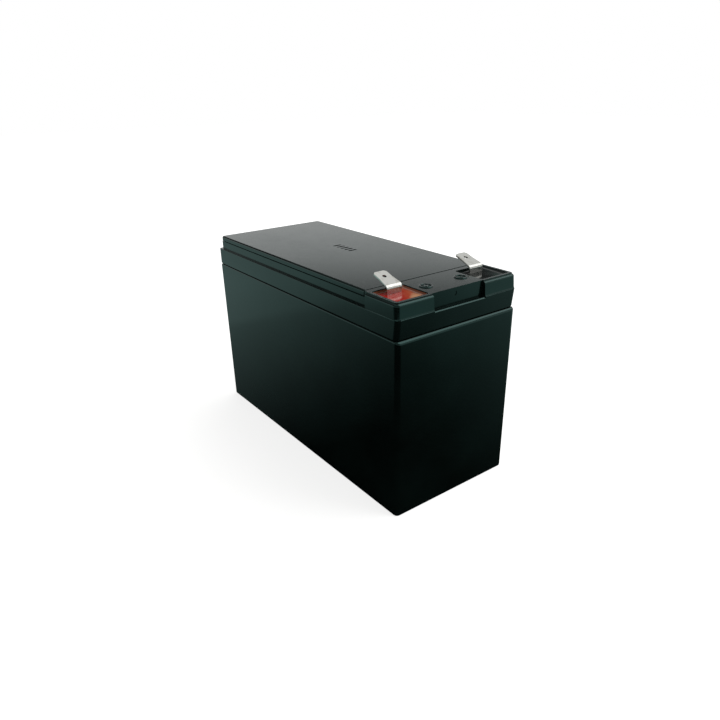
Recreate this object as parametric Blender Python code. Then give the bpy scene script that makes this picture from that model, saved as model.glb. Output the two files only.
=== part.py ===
# A sealed 12 V lead-acid battery of the 151 x 65 x 94 mm size, in metres, standing on Z = 0.
# X runs along its length with both terminals at the +X end, and its positive terminal is on the -Y side.
# Six cells in two rows of three: the series runs along the -Y row to the far end and back along the +Y row.
import math

import bmesh
import bpy

# Gap that neighbouring pieces keep, and the depth by which shapes of one piece run into each other
CLEARANCE = 0.0003
FUSE = 0.0005

# Moulded case
CASE_LENGTH = 0.151
CASE_WIDTH = 0.065
CASE_HEIGHT = 0.0797
CASE_WALL = 0.0025
CASE_FLOOR = 0.0025
CASE_CORNER = 0.002
CASE_DRAFT = 0.00015
CASE_TOP_EDGE = 0.0019
CASE_FOOT_EDGE = 0.0006
PARTITION = 0.0015
CELL_CORNER = 0.001
CELLS_ALONG = 3
CELLS_ACROSS = 2

# Moulded lid: a skirt, a narrower band that carries the cover plate, and the thick terminal end.
# SKIRT_LEAN draws the skirt's end in towards its foot, END_STEP sets the end face back above the skirt,
# END_LEAN draws it in further up to the shoulder, and LID_STEP is the small step up to the top face.
SKIRT_HEIGHT = 0.0074
BAND_HEIGHT = 0.004
BAND_INSET = 0.0013
BAND_WALL = 0.002
BAND_CORNER = 0.0018
DECK = 0.0025
LID_FOOT_EDGE = 0.0003
LID_DRAFT = 0.0001
LID_TOP_EDGE = 0.001
LID_STEP = 0.0005
LID_STEP_INSET = 0.0001
END_STEP = 0.0004
END_STEP_RISE = 0.0006
END_LEAN = 0.0004
SKIRT_LEAN = 0.0004
CHEEK_STEP = 0.0017
RIM_WALL = 0.0012
RIM_DEPTH = 0.0013
END_RECESS_MARGIN = 0.0005
END_RECESS_DEPTH = 0.002
END_RECESS_DROP = 0.0068

# Cover plate
PLATE_THICKNESS = 0.0023
PLATE_EDGE = 0.0009
PLATE_CORNER = 0.0017
PLATE_SET_BACK = 0.00015
PLATE_RIM_WALL = 0.0012
PLATE_RIM_DEPTH = 0.0015

# Valves
NECK_RADIUS = 0.0045
NECK_BORE = 0.0025
CAP_ROOF = 0.002
CAP_WALL = 0.0014
CAP_EDGE = 0.0006
CAP_LIFT = 0.0014

# Terminal pockets and what they hold
POCKET_LENGTH = 0.0154
POCKET_WIDTH = 0.0158
POCKET_DEPTH = 0.006
POCKET_CORNER = 0.0009
POCKET_END_WALL = 0.0031
POCKET_SIDE_WALL = 0.0023
POCKET_BACK_WALL = 0.0028
POCKET_FLOOR = 0.002
POST_RADIUS = 0.004
POST_RISE = 0.0006
RIVET_RADIUS = 0.0015
RIVET_RISE = 0.0005
BUSHING_WALL = 0.0012
BUSHING_LENGTH = 0.0032
RING_SECTION = 0.0009
RESIN_DROP = 0.0011
RESIN_CREEP = 0.0008
RESIN_EDGE = 0.0024

# Push-on tabs, bent from strip
TAB_THICKNESS = 0.0008
TAB_ROOT_WIDTH = 0.0074
TAB_WIDTH = 0.00635
TAB_FOOT = 0.0035
TAB_SET_BACK = 0.0039
TAB_FOOT_BEND = 0.0012
TAB_BEND = 0.001
TAB_BEND_RISE = 0.0016
TAB_BLADE = 0.0088
TAB_TAPER = 0.0045
TAB_SLOPE = math.radians(19)
TAB_CHAMFER = 0.001
TAB_HOLE_RADIUS = 0.00085
TAB_HOLE_TO_TIP = 0.0031

# Plates, mats and lead work of one cell. The plates share the width that the mats leave, in this ratio.
POSITIVE_PLATES = 4
POSITIVE_TO_NEGATIVE = 1.5
MAT_THICKNESS = 0.0009
MAT_ABOVE_PLATE = 0.0015
LUG_WIDTH = 0.005
LUG_THICKNESS = 0.001
LUG_HEIGHT = 0.003
STRAP_WIDTH = 0.008
STRAP_THICKNESS = 0.0023
STRAP_OVERHANG = 0.0002
LINK_WIDTH = 0.008
LINK_THICKNESS = 0.0028
LINK_END = 0.003

# Facets
CORNER_STEPS = 5
EDGE_STEPS = 3
ROUND_STEPS = 18
FOLD_STEPS = 4
SHARP_ANGLE = math.radians(35)

# Cells
HALF_LENGTH = CASE_LENGTH / 2
HALF_WIDTH = CASE_WIDTH / 2
CELL_LENGTH = (CASE_LENGTH - 2 * CASE_WALL - (CELLS_ALONG - 1) * PARTITION) / CELLS_ALONG
CELL_WIDTH = (CASE_WIDTH - 2 * CASE_WALL - (CELLS_ACROSS - 1) * PARTITION) / CELLS_ACROSS
CELL_PITCH_X = CELL_LENGTH + PARTITION
CELL_PITCH_Y = CELL_WIDTH + PARTITION

# Levels of the lid, from its foot up
LID_FOOT = CASE_HEIGHT + CLEARANCE
SKIRT_TOP = LID_FOOT + SKIRT_HEIGHT
BAND_TOP = SKIRT_TOP + BAND_HEIGHT
PLATE_FOOT = BAND_TOP + CLEARANCE
LID_TOP = PLATE_FOOT + PLATE_THICKNESS
DECK_TOP = LID_FOOT + DECK
CAP_TOP = PLATE_FOOT - CLEARANCE
NECK_TOP = CAP_TOP - CAP_ROOF - CLEARANCE

# Places in the lid's plan
BAND_X = HALF_LENGTH - BAND_INSET
BAND_Y = HALF_WIDTH - BAND_INSET
TERMINAL_X = HALF_LENGTH - POCKET_END_WALL - POCKET_LENGTH / 2
TERMINAL_Y = HALF_WIDTH - POCKET_SIDE_WALL - POCKET_WIDTH / 2
BLOCK_X = TERMINAL_X - POCKET_LENGTH / 2 - POCKET_BACK_WALL
CHEEK_X = BLOCK_X + CHEEK_STEP
PAN_LOW_X = BAND_WALL - BAND_X
PAN_HIGH_X = BLOCK_X - BAND_WALL
PAN_Y = BAND_Y - BAND_WALL

# Levels in the pockets
POCKET_FLOOR_Z = LID_TOP - POCKET_DEPTH
POST_TOP = POCKET_FLOOR_Z + POST_RISE
RING_RADIUS = POST_RADIUS + CLEARANCE + RING_SECTION
RING_SEAT_RADIUS = RING_RADIUS + RING_SECTION + CLEARANCE
RING_SEAT_Z = POCKET_FLOOR_Z - 2 * RING_SECTION
TAB_FOOT_Z = POST_TOP + CLEARANCE + TAB_THICKNESS / 2
RIVET_TOP = TAB_FOOT_Z + TAB_THICKNESS / 2 + RIVET_RISE
TAB_BEND_Z = LID_TOP + TAB_BEND_RISE

# Levels in the cells, from the lid's rims down
LINK_TOP_Z = LID_FOOT - RIM_DEPTH - CLEARANCE
LINK_LOW_Z = LINK_TOP_Z - LINK_THICKNESS
STRAP_TOP_Z = LINK_LOW_Z - CLEARANCE
STRAP_LOW_Z = STRAP_TOP_Z - STRAP_THICKNESS
PLATE_TOP_Z = STRAP_LOW_Z - LUG_HEIGHT
PLATE_LOW_Z = CASE_FLOOR + CLEARANCE
STRAP_X = TERMINAL_X - CELL_PITCH_X * (CELLS_ALONG - 1) / 2

# The stack of plates and mats across a cell
MAT_LAYERS = 2 * POSITIVE_PLATES
STACK_GAPS = (2 * MAT_LAYERS + 2) * CLEARANCE
PASTED_WIDTH = CELL_WIDTH - STACK_GAPS - MAT_LAYERS * MAT_THICKNESS
NEGATIVE_THICKNESS = PASTED_WIDTH / (POSITIVE_PLATES * (POSITIVE_TO_NEGATIVE + 1) + 1)
POSITIVE_THICKNESS = NEGATIVE_THICKNESS * POSITIVE_TO_NEGATIVE
MAT_OFFSET_POSITIVE = POSITIVE_THICKNESS / 2 + CLEARANCE + MAT_THICKNESS / 2
MAT_OFFSET_NEGATIVE = NEGATIVE_THICKNESS / 2 + CLEARANCE + MAT_THICKNESS / 2
PLATE_PITCH = 2 * (MAT_OFFSET_POSITIVE + MAT_OFFSET_NEGATIVE)
FOLD_REACH = max(MAT_OFFSET_POSITIVE, MAT_OFFSET_NEGATIVE) + MAT_THICKNESS / 2
PLATE_LENGTH = CELL_LENGTH - 2 * (FOLD_REACH + CLEARANCE)


def clear_scene():
    for item in list(bpy.data.objects):
        bpy.data.objects.remove(item)


def material(name, color, roughness, metallic=0.0):
    made = bpy.data.materials.new(name)
    made.use_nodes = True
    shader = made.node_tree.nodes["Principled BSDF"]
    shader.inputs["Base Color"].default_value = (*color, 1.0)
    shader.inputs["Roughness"].default_value = roughness
    shader.inputs["Metallic"].default_value = metallic
    return made


def put(name, shape):
    # Turns a bmesh into an object of the scene, with its faces turned outward
    bmesh.ops.recalc_face_normals(shape, faces=shape.faces)
    mesh = bpy.data.meshes.new(name)
    shape.to_mesh(mesh)
    shape.free()
    item = bpy.data.objects.new(name, mesh)
    bpy.context.collection.objects.link(item)
    return item


def loft(name, levels):
    # Levels are (z, outline) from low to high, and every outline has the same number of points
    shape = bmesh.new()
    rings = [[shape.verts.new((x, y, z)) for x, y in outline] for z, outline in levels]
    shape.faces.new(reversed(rings[0]))
    for low, high in zip(rings, rings[1:]):
        for i, corner in enumerate(low):
            j = (i + 1) % len(low)
            shape.faces.new((corner, low[j], high[j], high[i]))
    shape.faces.new(rings[-1])
    return put(name, shape)


def box(name, low, high):
    outline = [(low[0], low[1]), (high[0], low[1]), (high[0], high[1]), (low[0], high[1])]
    return loft(name, [(low[2], outline), (high[2], outline)])


def turned(name, profile, closed=False):
    # The profile is (radius, z) about the Z axis. An open one gets a flat disc at each end.
    shape = bmesh.new()
    rings = []
    for radius, z in profile:
        turns = [2 * math.pi * k / ROUND_STEPS for k in range(ROUND_STEPS)]
        rings.append([shape.verts.new((radius * math.cos(a), radius * math.sin(a), z)) for a in turns])
    pairs = list(zip(rings, rings[1:]))
    if closed:
        pairs.append((rings[-1], rings[0]))
    else:
        shape.faces.new(rings[0])
        shape.faces.new(rings[-1])
    for one, two in pairs:
        for i in range(ROUND_STEPS):
            j = (i + 1) % ROUND_STEPS
            shape.faces.new((one[i], one[j], two[j], two[i]))
    return put(name, shape)


def cylinder(name, radius, low, high):
    return turned(name, [(radius, low), (radius, high)])


def rounded(x_low, x_high, y_low, y_high, radius):
    # A rectangle with round corners, counter-clockwise
    corners = (
        (x_high - radius, y_high - radius, 0),
        (x_low + radius, y_high - radius, 1),
        (x_low + radius, y_low + radius, 2),
        (x_high - radius, y_low + radius, 3),
    )
    points = []
    for x, y, quarter in corners:
        for k in range(CORNER_STEPS + 1):
            angle = (quarter + k / CORNER_STEPS) * math.pi / 2
            points.append((x + radius * math.cos(angle), y + radius * math.sin(angle)))
    return points


def round_edge(top, radius, inset=0.0):
    # (z, inset) steps of a round upper edge
    turns = [k / EDGE_STEPS * math.pi / 2 for k in range(EDGE_STEPS + 1)]
    return [(top - radius + radius * math.sin(a), inset + radius - radius * math.cos(a)) for a in turns]


def place(item, x, y, z=0.0):
    # Moves a helper shape by its mesh, so that Booleans and joins need no transform
    for vertex in item.data.vertices:
        vertex.co.x += x
        vertex.co.y += y
        vertex.co.z += z
    return item


def gather(name, items):
    # Joins separate helper shapes into one mesh
    shape = bmesh.new()
    for item in items:
        shape.from_mesh(item.data)
        bpy.data.objects.remove(item)
    return put(name, shape)


def combine(target, operation, tools):
    # Tools of one call don't touch each other
    tool = gather("tool", tools)
    modifier = target.modifiers.new(operation, "BOOLEAN")
    modifier.operation = operation
    modifier.object = tool
    with bpy.context.temp_override(object=target, active_object=target):
        bpy.ops.object.modifier_apply(modifier=modifier.name)
    bpy.data.objects.remove(tool)


def cell_places():
    # Centres of the cells in series order, and the half turn of those in the +Y row
    columns = [CELL_PITCH_X * ((CELLS_ALONG - 1) / 2 - k) for k in range(CELLS_ALONG)]
    places = []
    for row in range(CELLS_ACROSS):
        y = CELL_PITCH_Y * (row - (CELLS_ACROSS - 1) / 2)
        places += [(x, y, row * math.pi) for x in columns]
        columns.reverse()
    return places


def terminals():
    return (("positive", TERMINAL_X, -TERMINAL_Y), ("negative", TERMINAL_X, TERMINAL_Y))


def cell_outline(x, y, inset):
    half_x = CELL_LENGTH / 2 - inset
    half_y = CELL_WIDTH / 2 - inset
    return rounded(x - half_x, x + half_x, y - half_y, y + half_y, CELL_CORNER)


def link_span(first, second):
    # Low and high corners in plan of the bar between the straps of two cells in series
    x_first = first[0] - STRAP_X * math.cos(first[2])
    x_second = second[0] + STRAP_X * math.cos(second[2])
    low_x, high_x = min(x_first, x_second), max(x_first, x_second)
    if first[1] == second[1]:
        return (low_x - LINK_END, first[1] - LINK_WIDTH / 2), (high_x + LINK_END, first[1] + LINK_WIDTH / 2)
    low_y, high_y = min(first[1], second[1]), max(first[1], second[1])
    return (low_x - LINK_WIDTH / 2, low_y - LINK_END), (high_x + LINK_WIDTH / 2, high_y + LINK_END)


def link_spans():
    cells = cell_places()
    return [link_span(first, second) for first, second in zip(cells, cells[1:])]


def body_outline(inset, back=0.0):
    # Case and lid in plan, drawn in all round by an inset and set back at the terminal end
    high_x = HALF_LENGTH - inset - back
    return rounded(inset - HALF_LENGTH, high_x, inset - HALF_WIDTH, HALF_WIDTH - inset, CASE_CORNER)


def make_case(finish):
    # Open-topped jar with its partitions, lower where the cell links cross them
    levels = [(0.0, CASE_DRAFT + CASE_FOOT_EDGE), (CASE_FOOT_EDGE, CASE_DRAFT)]
    levels += round_edge(CASE_HEIGHT, CASE_TOP_EDGE)
    case = loft("case", [(z, body_outline(inset)) for z, inset in levels])
    mouth = CASE_HEIGHT + CASE_WALL
    cells = []
    for x, y, _ in cell_places():
        outline = cell_outline(x, y, 0.0)
        cells.append(loft("cell", [(CASE_FLOOR, outline), (mouth, outline)]))
    combine(case, "DIFFERENCE", cells)
    notches = []
    for low, high in link_spans():
        low_corner = (low[0] - CLEARANCE, low[1] - CLEARANCE, LINK_LOW_Z - CLEARANCE)
        notches.append(box("notch", low_corner, (high[0] + CLEARANCE, high[1] + CLEARANCE, mouth)))
    combine(case, "DIFFERENCE", notches)
    case.data.materials.append(finish)


def lid_blank():
    # The whole height of the lid at its full outline, as levels of (z, inset, set-back of the end)
    levels = [(LID_FOOT, LID_FOOT_EDGE, SKIRT_LEAN), (LID_FOOT + LID_FOOT_EDGE, 0.0, SKIRT_LEAN)]
    levels += [(SKIRT_TOP, 0.0, 0.0), (SKIRT_TOP + END_STEP_RISE, 0.0, END_STEP)]
    shoulder = round_edge(LID_TOP - LID_STEP, LID_TOP_EDGE, LID_DRAFT)
    levels += [(z, inset, END_STEP + END_LEAN) for z, inset in shoulder]
    levels.append((LID_TOP, LID_DRAFT + LID_TOP_EDGE + LID_STEP_INSET, END_STEP + END_LEAN))
    return loft("lid", [(z, body_outline(inset, back)) for z, inset, back in levels])


def step_lid(lid):
    # The seat of the cover plate, then the ledge round the band
    beyond = HALF_LENGTH + BAND_WALL
    above = LID_TOP + BAND_WALL
    combine(lid, "DIFFERENCE", [box("seat", (-beyond, -beyond, BAND_TOP), (BLOCK_X, beyond, above))])
    ledge = box("ledge", (-beyond, -beyond, SKIRT_TOP), (CHEEK_X, beyond, above))
    band = rounded(-BAND_X, beyond, -BAND_Y, BAND_Y, BAND_CORNER)
    combine(ledge, "DIFFERENCE", [loft("band", [(SKIRT_TOP - FUSE, band), (above + FUSE, band)])])
    combine(lid, "DIFFERENCE", [ledge])


def hollow_lid(lid):
    # The pan under the cover plate, the terminal pockets and the recess in the end face
    above = LID_TOP + BAND_WALL
    pan = rounded(PAN_LOW_X, PAN_HIGH_X, -PAN_Y, PAN_Y, BAND_CORNER)
    cutters = [loft("pan", [(DECK_TOP, pan), (above, pan)])]
    half_x = POCKET_LENGTH / 2
    half_y = POCKET_WIDTH / 2
    for _, x, y in terminals():
        pocket = rounded(x - half_x, x + half_x, y - half_y, y + half_y, POCKET_CORNER)
        cutters.append(loft("pocket", [(POCKET_FLOOR_Z, pocket), (above, pocket)]))
    recess_y = TERMINAL_Y - POCKET_WIDTH / 2 - END_RECESS_MARGIN
    recess_low = (HALF_LENGTH - END_RECESS_DEPTH, -recess_y, LID_TOP - END_RECESS_DROP)
    cutters.append(box("recess", recess_low, (HALF_LENGTH + BAND_WALL, recess_y, above)))
    combine(lid, "DIFFERENCE", cutters)


def core_lid(lid):
    # Rims that drop into the cells, then the rooms under the terminal end, open to the first and last cell
    rim_low = LID_FOOT - RIM_DEPTH
    rims = []
    bores = []
    for x, y, _ in cell_places():
        outer = cell_outline(x, y, CLEARANCE)
        inner = cell_outline(x, y, CLEARANCE + RIM_WALL)
        rims.append(loft("rim", [(rim_low, outer), (LID_FOOT + FUSE, outer)]))
        bores.append(loft("rim_bore", [(rim_low - FUSE, inner), (LID_FOOT, inner)]))
    combine(lid, "UNION", rims)
    combine(lid, "DIFFERENCE", bores)
    room_end = CELL_PITCH_X + CELL_LENGTH / 2 - CLEARANCE - RIM_WALL
    near_y = PARTITION / 2 + CLEARANCE + RIM_WALL
    far_y = near_y + CELL_WIDTH - 2 * (CLEARANCE + RIM_WALL)
    pocket_y = TERMINAL_Y - POCKET_WIDTH / 2 - POCKET_FLOOR
    shelf = POCKET_FLOOR_Z - POCKET_FLOOR
    roof = LID_TOP - POCKET_FLOOR
    back_x = min(room_end, HALF_LENGTH - END_RECESS_DEPTH - POCKET_FLOOR)
    pocket_low_x = TERMINAL_X - POCKET_LENGTH / 2
    for low_x, high_x, high_y, low, high in (
        (BLOCK_X, room_end, far_y, LID_FOOT - FUSE, shelf),
        (pocket_low_x, back_x, pocket_y, shelf - FUSE, roof),
    ):
        rooms = []
        for low_y, top_y in ((near_y, high_y), (-high_y, -near_y)):
            room = rounded(low_x, high_x, low_y, top_y, CELL_CORNER)
            rooms.append(loft("room", [(low, room), (high, room)]))
        combine(lid, "DIFFERENCE", rooms)


def valve_places():
    # Each valve stands midway along the part of its cell that lies under the pan
    places = []
    for x, y, _ in cell_places():
        low = max(x - CELL_LENGTH / 2, PAN_LOW_X)
        high = min(x + CELL_LENGTH / 2, PAN_HIGH_X)
        places.append(((low + high) / 2, y))
    return places


def at_valves(name, radius, low, high):
    return [place(cylinder(name, radius, low, high), x, y) for x, y in valve_places()]


def fit_lid(lid):
    # Valve necks on the deck, and a bushing with a ring seat under each pocket
    fused = at_valves("neck", NECK_RADIUS, DECK_TOP - FUSE, NECK_TOP)
    bored = at_valves("bore", NECK_BORE, LID_FOOT - FUSE, NECK_TOP + FUSE)
    seats = []
    bushing_top = POCKET_FLOOR_Z - POCKET_FLOOR
    bushing_foot = bushing_top - BUSHING_LENGTH
    bushing_radius = RING_SEAT_RADIUS + BUSHING_WALL
    passage = POST_RADIUS + CLEARANCE
    for _, x, y in terminals():
        fused.append(place(cylinder("bushing", bushing_radius, bushing_foot, bushing_top + FUSE), x, y))
        bored.append(place(cylinder("bore", passage, bushing_foot - FUSE, RING_SEAT_Z + FUSE), x, y))
        seats.append(place(cylinder("seat", RING_SEAT_RADIUS, RING_SEAT_Z, POCKET_FLOOR_Z + FUSE), x, y))
    combine(lid, "UNION", fused)
    combine(lid, "DIFFERENCE", bored)
    combine(lid, "DIFFERENCE", seats)


def make_lid(finish):
    lid = lid_blank()
    step_lid(lid)
    hollow_lid(lid)
    core_lid(lid)
    fit_lid(lid)
    lid.data.materials.append(finish)


def make_cover_plate(finish):
    # Plate with a round upper edge and a rim that locates it in the pan
    low_x = PLATE_SET_BACK - BAND_X
    high_x = BLOCK_X - CLEARANCE
    half_y = BAND_Y - PLATE_SET_BACK
    levels = [(PLATE_FOOT, 0.0)] + round_edge(LID_TOP, PLATE_EDGE)
    plate = loft("cover_plate", [
        (z, rounded(low_x + inset, high_x - inset, inset - half_y, half_y - inset, PLATE_CORNER))
        for z, inset in levels
    ])
    outlines = []
    for inset in (CLEARANCE, CLEARANCE + PLATE_RIM_WALL):
        rim_y = PAN_Y - inset
        outlines.append(rounded(PAN_LOW_X + inset, PAN_HIGH_X - inset, -rim_y, rim_y, PLATE_EDGE))
    foot = PLATE_FOOT - PLATE_RIM_DEPTH
    rim, bore = outlines
    combine(plate, "UNION", [loft("rim", [(foot, rim), (PLATE_FOOT + FUSE, rim)])])
    combine(plate, "DIFFERENCE", [loft("rim_bore", [(foot - FUSE, bore), (PLATE_FOOT, bore)])])
    plate.data.materials.append(finish)


def make_valve_caps(finish):
    # Rubber cup that fits over a neck and is held down by the cover plate
    inner = NECK_RADIUS + CLEARANCE
    outer = inner + CAP_WALL
    roof = NECK_TOP + CLEARANCE
    foot = DECK_TOP + CAP_LIFT
    profile = [
        (inner, roof), (inner, foot), (outer, foot),
        (outer, CAP_TOP - CAP_EDGE), (outer - CAP_EDGE, CAP_TOP),
    ]
    for number, (x, y) in enumerate(valve_places(), 1):
        cap = turned(f"valve_cap_{number}", [(radius, z - foot) for radius, z in profile])
        cap.location = (x, y, foot)
        cap.data.materials.append(finish)


def arc(centre, radius, start, end, steps):
    # Points of a bend as (along, up, heading), where the heading is the way the strip runs
    points = []
    side = math.copysign(math.pi / 2, end - start)
    for k in range(steps + 1):
        angle = start + (end - start) * k / steps
        along = centre[0] + radius * math.cos(angle)
        points.append((along, centre[1] + radius * math.sin(angle), angle + side))
    return points


def tab_path():
    # Middle line of a tab in the XZ plane from its foot to its tip, with the width at each point
    riser = -TAB_SET_BACK
    path = [(TAB_FOOT, TAB_FOOT_Z, math.pi)]
    foot_centre = (riser + TAB_FOOT_BEND, TAB_FOOT_Z + TAB_FOOT_BEND)
    path += arc(foot_centre, TAB_FOOT_BEND, 1.5 * math.pi, math.pi, FOLD_STEPS)
    path += arc((riser - TAB_BEND, TAB_BEND_Z), TAB_BEND, 0.0, math.pi / 2 - TAB_SLOPE, FOLD_STEPS + 1)
    points = [(x, z, heading, TAB_ROOT_WIDTH) for x, z, heading in path]
    x, z, heading = path[-1]
    for run, width in (
        (TAB_TAPER, TAB_WIDTH),
        (TAB_BLADE - TAB_CHAMFER, TAB_WIDTH),
        (TAB_BLADE, TAB_WIDTH - 2 * TAB_CHAMFER),
    ):
        points.append((x + run * math.cos(heading), z + run * math.sin(heading), heading, width))
    return points


def tab_strip(name):
    shape = bmesh.new()
    rings = []
    for x, z, heading, width in tab_path():
        across = (-math.sin(heading) * TAB_THICKNESS / 2, math.cos(heading) * TAB_THICKNESS / 2)
        ring = []
        for side, edge in ((1, 1), (1, -1), (-1, -1), (-1, 1)):
            ring.append(shape.verts.new((x + side * across[0], edge * width / 2, z + side * across[1])))
        rings.append(ring)
    shape.faces.new(rings[0])
    shape.faces.new(rings[-1])
    for one, two in zip(rings, rings[1:]):
        for i in range(4):
            j = (i + 1) % 4
            shape.faces.new((one[i], one[j], two[j], two[i]))
    return put(name, shape)


def make_tabs(finish):
    for name, x, y in terminals():
        tab = tab_strip(f"{name}_tab")
        tip_x, tip_z, heading, _ = tab_path()[-1]
        hole_x = tip_x - TAB_HOLE_TO_TIP * math.cos(heading)
        hole_z = tip_z - TAB_HOLE_TO_TIP * math.sin(heading)
        hole = cylinder("hole", TAB_HOLE_RADIUS, -TAB_THICKNESS, TAB_THICKNESS)
        for vertex in hole.data.vertices:
            along, up = vertex.co.x, vertex.co.z
            vertex.co.x = hole_x + along * math.cos(TAB_SLOPE) + up * math.sin(TAB_SLOPE)
            vertex.co.z = hole_z - along * math.sin(TAB_SLOPE) + up * math.cos(TAB_SLOPE)
        below, above = TAB_FOOT_Z - TAB_THICKNESS, TAB_FOOT_Z + TAB_THICKNESS
        rivet_hole = cylinder("hole", RIVET_RADIUS + CLEARANCE, below, above)
        combine(tab, "DIFFERENCE", [hole, rivet_hole])
        tab.location = (x, y, 0.0)
        tab.data.materials.append(finish)


def make_posts(finish):
    # Lead pillar on the strap, with the rivet that its tab sits on
    profile = [
        (POST_RADIUS, 0.0), (POST_RADIUS, POST_TOP - LINK_LOW_Z),
        (RIVET_RADIUS, POST_TOP - LINK_LOW_Z), (RIVET_RADIUS, RIVET_TOP - LINK_LOW_Z),
    ]
    for name, x, y in terminals():
        post = turned(f"{name}_post", profile)
        post.location = (x, y, LINK_LOW_Z)
        post.data.materials.append(finish)


def make_seal_rings(finish):
    turns = [2 * math.pi * k / (2 * FOLD_STEPS) for k in range(2 * FOLD_STEPS)]
    profile = [(RING_RADIUS + RING_SECTION * math.cos(a), RING_SECTION * math.sin(a)) for a in turns]
    for name, x, y in terminals():
        ring = turned(f"{name}_seal_ring", profile, closed=True)
        ring.location = (x, y, RING_SEAT_Z + CLEARANCE + RING_SECTION)
        ring.data.materials.append(finish)


def make_resins(finishes):
    # Poured resin that climbs the pocket's walls a little, cast round the tab, the rivet and the post.
    # The climb is steep in its first third from the wall and slight in the rest.
    half_x = POCKET_LENGTH / 2 - CLEARANCE
    half_y = POCKET_WIDTH / 2 - CLEARANCE
    foot = POCKET_FLOOR_Z + CLEARANCE
    level = LID_TOP - RESIN_DROP
    slot_y = TAB_ROOT_WIDTH / 2 + CLEARANCE
    slot_x = TAB_THICKNESS / 2 + CLEARANCE
    riser = -TAB_SET_BACK
    shoulder = TAB_FOOT_Z - TAB_THICKNESS / 2
    ring_top = RING_SEAT_Z + CLEARANCE + 2 * RING_SECTION
    for name, x, y in terminals():
        levels = [(foot, 0.0), (level + RESIN_CREEP, 0.0)]
        levels += [(level + RESIN_CREEP / 3, RESIN_EDGE / 3), (level, RESIN_EDGE)]
        resin = loft(f"{name}_resin", [
            (z, rounded(inset - half_x, half_x - inset, inset - half_y, half_y - inset, POCKET_CORNER))
            for z, inset in levels
        ])
        slot_top = LID_TOP + RESIN_CREEP
        slot = box("slot", (riser - slot_x, -slot_y, foot - FUSE), (riser + slot_x, slot_y, slot_top))
        foot_room = box("room", (riser, -slot_y, foot - FUSE), (
            TAB_FOOT + CLEARANCE, slot_y, TAB_FOOT_Z + TAB_THICKNESS / 2 + CLEARANCE))
        post_room_top = max(shoulder, ring_top + CLEARANCE)
        post_room = cylinder("room", RING_SEAT_RADIUS + CLEARANCE, foot - FUSE, post_room_top)
        rivet_room = cylinder("room", RIVET_RADIUS + CLEARANCE, foot, RIVET_TOP + CLEARANCE)
        bend_room = box("room", (riser, -slot_y, foot), (
            riser + TAB_FOOT_BEND + slot_x, slot_y, TAB_FOOT_Z + TAB_FOOT_BEND + CLEARANCE))
        for cutter in (slot, foot_room, post_room, rivet_room, bend_room):
            combine(resin, "DIFFERENCE", [cutter])
        resin.location = (x, y, 0.0)
        resin.data.materials.append(finishes[name])


def plate_rows(count, pitch):
    return [pitch * (k - (count - 1) / 2) for k in range(count)]


def plate_group(name, rows, thickness, side):
    # Plates on a cast strap, standing in the frame of one cell
    half = PLATE_LENGTH / 2
    strap_x = side * STRAP_X
    strap_y = rows[-1] + thickness / 2 + STRAP_OVERHANG
    group = box(name, (strap_x - STRAP_WIDTH / 2, -strap_y, STRAP_LOW_Z), (
        strap_x + STRAP_WIDTH / 2, strap_y, STRAP_TOP_Z))
    lugs = []
    plates = []
    for y in rows:
        low = (strap_x - LUG_WIDTH / 2, y - LUG_THICKNESS / 2, PLATE_TOP_Z - FUSE)
        lugs.append(box("lug", low, (strap_x + LUG_WIDTH / 2, y + LUG_THICKNESS / 2, STRAP_LOW_Z + FUSE)))
        low = (-half, y - thickness / 2, PLATE_LOW_Z)
        plates.append(box("plate", low, (half, y + thickness / 2, PLATE_TOP_Z)))
    combine(group, "UNION", lugs)
    combine(group, "UNION", plates)
    return group


def make_plate_groups(positive_finish, negative_finish):
    positive_rows = plate_rows(POSITIVE_PLATES, PLATE_PITCH)
    negative_rows = plate_rows(POSITIVE_PLATES + 1, PLATE_PITCH)
    kinds = (
        ("positive_plates", positive_rows, POSITIVE_THICKNESS, 1, positive_finish),
        ("negative_plates", negative_rows, NEGATIVE_THICKNESS, -1, negative_finish),
    )
    for kind, rows, thickness, side, finish in kinds:
        for number, (x, y, turn) in enumerate(cell_places(), 1):
            group = plate_group(f"{kind}_{number}", rows, thickness, side)
            group.location = (x, y, 0.0)
            group.rotation_euler.z = turn
            group.data.materials.append(finish)


def mat_path():
    # Middle line in plan: round each positive plate at +X, and round each negative one between them at -X
    half = PLATE_LENGTH / 2
    path = [(-half, plate_rows(POSITIVE_PLATES, PLATE_PITCH)[0] - MAT_OFFSET_POSITIVE, 0.0)]
    for number, y in enumerate(plate_rows(POSITIVE_PLATES, PLATE_PITCH), 1):
        path += arc((half, y), MAT_OFFSET_POSITIVE, -math.pi / 2, math.pi / 2, FOLD_STEPS)
        if number < POSITIVE_PLATES:
            next_y = y + PLATE_PITCH / 2
            path += arc((-half, next_y), MAT_OFFSET_NEGATIVE, 1.5 * math.pi, math.pi / 2, FOLD_STEPS)
        else:
            path.append((-half, y + MAT_OFFSET_POSITIVE, math.pi))
    return path


def make_glass_mats(finish):
    left = []
    right = []
    for x, y, heading in mat_path():
        across = (-math.sin(heading) * MAT_THICKNESS / 2, math.cos(heading) * MAT_THICKNESS / 2)
        left.append((x + across[0], y + across[1]))
        right.append((x - across[0], y - across[1]))
    outline = right + left[::-1]
    levels = [(PLATE_LOW_Z, outline), (PLATE_TOP_Z + MAT_ABOVE_PLATE, outline)]
    for number, (x, y, turn) in enumerate(cell_places(), 1):
        mat = loft(f"glass_mat_{number}", levels)
        mat.location = (x, y, 0.0)
        mat.rotation_euler.z = turn
        mat.data.materials.append(finish)


def make_cell_links(finish):
    for number, (low, high) in enumerate(link_spans(), 1):
        link = box(f"cell_link_{number}", (*low, LINK_LOW_Z), (*high, LINK_TOP_Z))
        link.data.materials.append(finish)


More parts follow.
